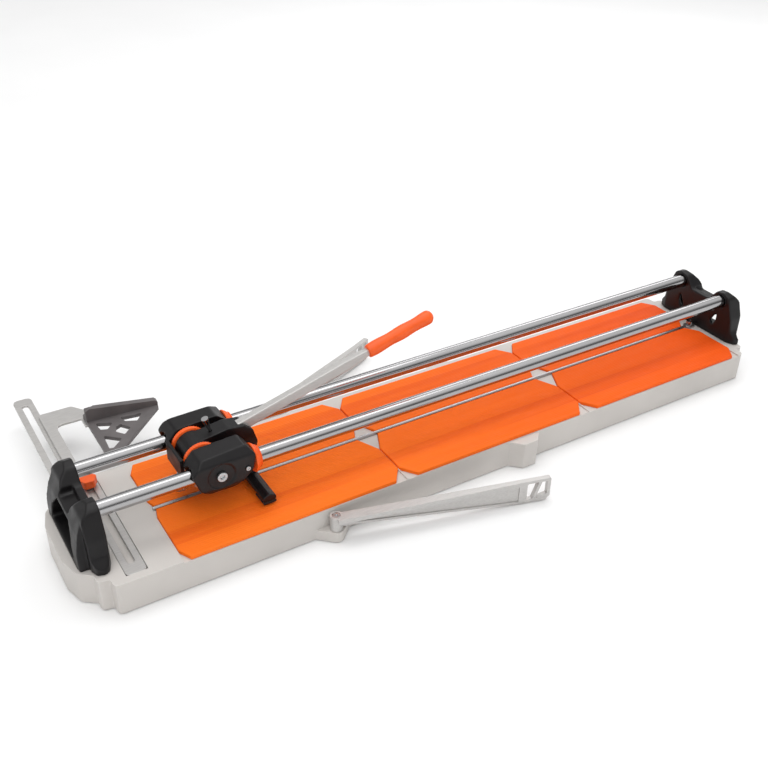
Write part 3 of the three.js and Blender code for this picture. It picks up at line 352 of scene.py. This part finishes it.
def moulded(node, voxel, rounds):
    """A CAD shape remade as one dense skin and relaxed, as a moulding's generous radii are."""
    piece = new_piece(f"{node}_look", cad_mesh(node), node)
    remesh = piece.modifiers.new("skin", "REMESH")
    remesh.mode = "VOXEL"
    remesh.voxel_size = voxel
    smooth = piece.modifiers.new("relaxed", "SMOOTH")
    smooth.factor = 0.5
    smooth.iterations = rounds
    graph = bpy.context.evaluated_depsgraph_get()
    mesh = bpy.data.meshes.new_from_object(piece.evaluated_get(graph))
    piece.modifiers.clear()
    piece.data = mesh
    smooth_shading(mesh)
    mesh.materials.clear()
    mesh.materials.append(LOOKS[SLOT_OF[node]])
    return piece


def rings_about_x(bm, profile, centre, sides):
    """Rings of vertices: a profile of (along, radius) points turned about the X axis through centre."""
    turns = [2 * math.pi * k / sides for k in range(sides)]
    rings = []
    for along, radius in profile:
        offsets = [Vector((along, math.cos(t) * radius, math.sin(t) * radius)) for t in turns]
        rings.append([bm.verts.new(centre + offset) for offset in offsets])
    return rings


def bridge(bm, rings, closed):
    """Faces from each ring to the next: closed joins the last to the first, otherwise both ends are capped."""
    following = rings[1:] + rings[:1] if closed else rings[1:]
    for ring, other in zip(rings, following):
        for k in range(len(ring)):
            after = (k + 1) % len(ring)
            bm.faces.new((ring[k], ring[after], other[after], other[k]))
    if not closed:
        bm.faces.new(list(reversed(rings[0])))
        bm.faces.new(rings[-1])


# ---- Rails, and the pads with their ribs ----


def rail(side):
    """A ground bar with chamfered ends."""
    node = f"rail_{side}"
    low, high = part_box(node)
    radius = (high.z - low.z) / 2
    half = (high.x - low.x) / 2
    chamfer = 0.8 * MM
    start = [(-half, radius - chamfer), (-half + chamfer, radius)]
    end = [(half - chamfer, radius), (half, radius - chamfer)]
    bm = bmesh.new()
    bridge(bm, rings_about_x(bm, start + end, (low + high) / 2, 96), closed=False)
    bmesh.ops.recalc_face_normals(bm, faces=bm.faces)
    piece = new_piece(f"{node}_look", bm, node)
    smooth_shading(piece.data, 40)
    return piece


RIB_PITCH = 3.4 * MM
RIB_HEIGHT = 0.35 * MM
RIB_STEPS = 6
PAD_BORDER = 3.5 * MM
PAD_ROUND = 1.3 * MM


def pad_outline(node):
    """The pad's corners seen from above, in order round it."""
    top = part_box(node)[1].z
    vertices = (v.co for v in frame["nodes"][node].data.vertices)
    corners = {(round(v.x, 5), round(v.y, 5)) for v in vertices if v.z > top - 1e-5}
    middle = sum((Vector(c) for c in corners), Vector((0, 0))) / len(corners)
    return sorted((Vector(c) for c in corners), key=lambda c: math.atan2(c.y - middle.y, c.x - middle.x))


def inward_distance(point, corners):
    """How far a point is inside a convex outline given anticlockwise."""
    return min((b - a).normalized().cross(point - a) for a, b in zip(corners, corners[1:] + corners[:1]))


def row_ends(y, corners):
    """The lowest and highest x of the outline at a given y."""
    found = []
    for a, b in zip(corners, corners[1:] + corners[:1]):
        if a.y != b.y and min(a.y, b.y) - 1e-9 <= y <= max(a.y, b.y) + 1e-9:
            found.append(a.x + (b.x - a.x) * (y - a.y) / (b.y - a.y))
    return min(found), max(found)


def pad(node):
    """A rubber pad: ribs run along it, inside a plain border with a rounded edge."""
    low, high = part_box(node)
    corners = pad_outline(node)
    rounding = [PAD_ROUND * share for share in (0, 0.12, 0.35, 0.7, 1)]
    edge_steps = rounding + [PAD_BORDER, PAD_BORDER + RIB_PITCH / 2]
    depth = high.y - low.y
    ribbed = depth - 2 * PAD_BORDER
    steps = round(ribbed / RIB_PITCH) * RIB_STEPS
    inner = [PAD_BORDER + ribbed * k / steps for k in range(steps + 1)]
    rows = sorted({round(v, 7) for v in inner + rounding + [depth - e for e in rounding]})
    # The outline's own corners are rows too, so that its chamfers keep their points.
    rows = sorted(set(rows) | {round(c.y - low.y, 7) for c in corners})

    def height(x, y):
        inside = inward_distance(Vector((x, y)), corners)
        drop = max(0.0, PAD_ROUND - inside)
        fall = PAD_ROUND - math.sqrt(max(0.0, PAD_ROUND**2 - drop**2))
        fade = min(1.0, max(0.0, (inside - PAD_BORDER) / (RIB_PITCH / 2)))
        wave = 0.5 - 0.5 * math.cos(2 * math.pi * (y - low.y - PAD_BORDER) / RIB_PITCH)
        groove = RIB_HEIGHT * fade * (1 - min(1.0, wave * 1.6))
        return high.z - fall - groove

    bm = bmesh.new()
    grid = []
    for along in rows:
        y = low.y + along
        x0, x1 = row_ends(min(max(y, low.y + 1e-7), high.y - 1e-7), corners)
        xs = [x0 + e for e in edge_steps] + [x0 + (x1 - x0) * k / 12 for k in range(1, 12)]
        xs += [x1 - e for e in reversed(edge_steps)]
        grid.append([bm.verts.new((x, y, height(x, y))) for x in xs])
    for back, front in zip(grid, grid[1:]):
        for k in range(len(back) - 1):
            bm.faces.new((back[k], back[k + 1], front[k + 1], front[k]))
    skirt = [e for e in bm.edges if e.is_boundary]
    walls = bmesh.ops.extrude_edge_only(bm, edges=skirt)["geom"]
    foot = [v for v in walls if isinstance(v, bmesh.types.BMVert)]
    for vertex in foot:
        vertex.co.z = low.z
    bottom = [e for e in walls if isinstance(e, bmesh.types.BMEdge)]
    bmesh.ops.edgeloop_fill(bm, edges=bottom)
    bmesh.ops.recalc_face_normals(bm, faces=bm.faces)
    piece = new_piece(f"{node}_look", bm, node, "pad")
    smooth_shading(piece.data, 50)
    return piece


# ---- Lever's grip, hub rings, wipers and knob ----


def lever_axes():
    """The lever's direction and its upward normal, from the hub and the grip."""
    pivot = next(j for j in frame["joints"] if j["name"] == "lever_pivot")["pos_m"]
    low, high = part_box("lever_grip")
    tip = (low + high) / 2
    line = Vector((tip.x - pivot[0], 0, tip.z - pivot[2])).normalized()
    return Vector(pivot), line, Vector((-line.z, 0, line.x))


def grip():
    """The moulded grip: a collar, finger swells with fine rings and a rounded end."""
    node = "lever_grip"
    pivot, line, up = lever_axes()
    vertices = [v.co for v in frame["nodes"][node].data.vertices]
    along = [(v - pivot).dot(line) for v in vertices]
    start = min(along)
    length = max(along) - start
    reach = [((v - pivot) - line * (v - pivot).dot(line)).length for v in vertices]
    radius = max(reach)
    bm = bmesh.new()
    sides = 48
    count = 90
    rings = []
    for k in range(count + 1):
        t = k / count
        swell = 0.93 + 0.045 * math.cos(2 * math.pi * (2.6 * t - 0.35))
        end = math.sqrt(max(0.0, 1 - max(0.0, (t - 0.92) / 0.08) ** 2))
        mouth = min(1.0, 0.93 + t * 4)
        ring_depth = 0.018 if 0.1 < t < 0.86 and k % 3 == 0 else 0
        size = radius * swell * end * mouth * (1 - ring_depth)
        centre = pivot + line * (start + length * t)
        ring = []
        for s in range(sides):
            turn = 2 * math.pi * s / sides
            flat = 1 - 0.05 * abs(math.sin(turn))
            offset = up * math.cos(turn) + Vector((0, 1, 0)) * math.sin(turn) * flat
            ring.append(bm.verts.new(centre + offset * max(size, 1e-5)))
        rings.append(ring)
    bridge(bm, rings, closed=False)
    bmesh.ops.remove_doubles(bm, verts=bm.verts, dist=2e-5)
    bmesh.ops.recalc_face_normals(bm, faces=bm.faces)
    piece = new_piece(f"{node}_look", bm, node)
    smooth_shading(piece.data)
    return piece


def hub_ring(side):
    """A ring on the lever's hub, with a finely notched rim."""
    node = f"hub_ring_{side}"
    low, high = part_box(node)
    centre = (low + high) / 2
    radius = (high.z - low.z) / 2
    half = (high.y - low.y) / 2
    bore = 6.3 * MM
    teeth = 40
    steps = teeth * 4
    rim = [(-half, 0.93), (-half * 0.75, 1.0), (half * 0.75, 1.0), (half, 0.93)]  # reach as a share of radius
    profile = [(-half, bore), *rim, (half, bore)]
    bm = bmesh.new()
    rings = []
    for along, reach in profile:
        ring = []
        for k in range(steps):
            turn = 2 * math.pi * k / steps
            notch = 1 - 0.022 * (0.5 + 0.5 * math.cos(turn * teeth))
            size = reach if reach < 0.5 else reach * radius * notch
            ring.append(bm.verts.new(centre + Vector((math.cos(turn) * size, along, math.sin(turn) * size))))
        rings.append(ring)
    bridge(bm, rings, closed=True)
    bmesh.ops.recalc_face_normals(bm, faces=bm.faces)
    piece = new_piece(f"{node}_look", bm, node)
    smooth_shading(piece.data, 35)
    return piece


def wiper(side):
    """The orange collar at a housing's end: a cone with two lips round the rail."""
    node = f"rail_wiper_{side}"
    low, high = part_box(node)
    centre = (low + high) / 2
    outer = (high.z - low.z) / 2
    half = (high.x - low.x) / 2
    bore = 10.35 * MM
    nose = 13.5 * MM
    profile = [
        (-half, bore),
        (-half, outer * 0.97),
        (-half + 0.6 * MM, outer),
        (-half + 2.2 * MM, outer * 0.985),
        (half * 0.1, (outer + nose) / 2),
        (half * 0.55, nose * 1.02),
        (half * 0.7, nose * 1.06),
        (half * 0.92, nose),
        (half, nose * 0.93),
        (half, bore),
    ]
    bm = bmesh.new()
    bridge(bm, rings_about_x(bm, profile, centre, 72), closed=True)
    bmesh.ops.recalc_face_normals(bm, faces=bm.faces)
    piece = new_piece(f"{node}_look", bm, node)
    smooth_shading(piece.data, 40)
    return piece


# ---- The pieces ----

for side in ("front", "rear"):
    rail(side)
    hub_ring(side)
    wiper(side)
    for index in (1, 2, 3):
        pad(f"pad_{side}_{index}")
grip()

for end in ("near", "far"):
    moulded(f"bracket_{end}", 1.1 * MM, 7)
for side in ("front", "rear"):
    moulded(f"carriage_housing_{side}", 0.9 * MM, 7)
moulded("lever_hub", 0.8 * MM, 5)
moulded("breaker_foot", 0.8 * MM, 3)
moulded("gauge_knob", 0.5 * MM, 4)

machined("bench_casting", 1.0 * MM, 3)
machined("lever_bar", 1.8 * MM, 4)
for node in ("support_arm_front", "support_arm_rear"):
    machined(node, 0.9 * MM, 3)
machined("gauge_square", 0.7 * MM, 2)
for node in ("gauge_bar", "gauge_arm", "carriage_bridge"):
    machined(node, 0.5 * MM, 2)

DONE = {n for o in bpy.context.scene.objects for n in o.get("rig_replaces", [])}
for node in sorted(frame["nodes"]):
    if node not in DONE:
        machined(node, 0.3 * MM, 2)

# ---- Stage, light and camera ----


def stage_floor():
    """A pale sweep far larger than the object."""
    reach = 30.0
    bm = bmesh.new()
    corners = [bm.verts.new((x * reach, y * reach, 0)) for x, y in ((-1, -1), (1, -1), (1, 1), (-1, 1))]
    bm.faces.new(corners)
    mesh = bpy.data.meshes.new("floor")
    bm.to_mesh(mesh)
    bm.free()
    floor = bpy.data.objects.new("floor", mesh)
    bpy.context.scene.collection.objects.link(floor)
    made = Shader("floor_paper", (0.93, 0.93, 0.93), 0.9, Specular_IOR_Level=0.1)
    made.paint(made.blend(made.spread(made.noise(3), 0, 1), (0.92, 0.92, 0.92), (0.94, 0.94, 0.94)))
    mesh.materials.append(made.material)


def soft_light(name, place, target, size, power):
    data = bpy.data.lights.new(name, "AREA")
    data.shape = "RECTANGLE"
    data.size, data.size_y = size
    data.energy = power
    light = bpy.data.objects.new(name, data)
    light.location = place
    light.rotation_mode = "QUATERNION"
    light.rotation_quaternion = (Vector(target) - Vector(place)).to_track_quat("-Z", "Y")
    bpy.context.scene.collection.objects.link(light)


SKY_STRENGTH = 1.06
# How bright the sky is at each height: pale at the horizon, a dark wall above it and a bright ceiling.
SKY = [(0.0, 0.92), (1.0, 1.3), (0.13, 0.9), (0.22, 0.1), (0.48, 0.26), (0.66, 0.9)]


def studio():
    world = bpy.data.worlds.new("studio")
    bpy.context.scene.world = world
    world.use_nodes = True
    nodes, links = world.node_tree.nodes, world.node_tree.links
    background = nodes["Background"]
    background.inputs["Strength"].default_value = SKY_STRENGTH
    # The dark walls give the chrome something to show.
    direction = nodes.new("ShaderNodeTexCoord")
    split = nodes.new("ShaderNodeSeparateXYZ")
    ramp = nodes.new("ShaderNodeValToRGB")
    links.new(direction.outputs["Generated"], split.inputs["Vector"])
    links.new(split.outputs["Z"], ramp.inputs["Fac"])
    links.new(ramp.outputs["Color"], background.inputs["Color"])
    for (height, level), stop in zip(SKY[:2], ramp.color_ramp.elements):
        stop.position = height
        stop.color = (level, level, level, 1)
    for height, level in SKY[2:]:
        stop = ramp.color_ramp.elements.new(height)
        stop.color = (level, level, level, 1)
    middle = (0.0, 0.0, 0.05)
    soft_light("key", (-1.4, -1.8, 2.6), middle, (2.4, 1.6), 19)
    soft_light("top", (0.2, 0.6, 2.8), middle, (2.6, 0.8), 14)
    soft_light("rim", (1.9, 1.8, 1.6), middle, (1.6, 1.0), 11)


CAMERA_PLACE = Vector((-0.6945, -0.9657, 0.8589))
CAMERA_HEADING = 58.22  # degrees from +X, seen from above
CAMERA_DOWN = 32.91  # degrees below the horizontal
CAMERA_ROLL = 0.92
CAMERA_LENS = 46.75  # for a 36 mm sensor


def make_camera():
    data = bpy.data.cameras.new("camera")
    data.lens = CAMERA_LENS
    data.sensor_width = 36
    data.clip_start, data.clip_end = 0.05, 60
    camera = bpy.data.objects.new("camera", data)
    heading, down, roll = (math.radians(a) for a in (CAMERA_HEADING, CAMERA_DOWN, CAMERA_ROLL))
    ahead = math.cos(down)
    forward = Vector((math.cos(heading) * ahead, math.sin(heading) * ahead, -math.sin(down)))
    level = forward.cross(Vector((0, 0, 1))).normalized()
    right = level * math.cos(roll) + level.cross(forward) * math.sin(roll)
    up = right.cross(forward)
    turn = Matrix((right, up, -forward)).transposed()
    camera.matrix_world = Matrix.Translation(CAMERA_PLACE) @ turn.to_4x4()
    bpy.context.scene.collection.objects.link(camera)
    bpy.context.scene.camera = camera


stage_floor()
studio()
make_camera()
bpy.context.scene.view_settings.view_transform = "Standard"
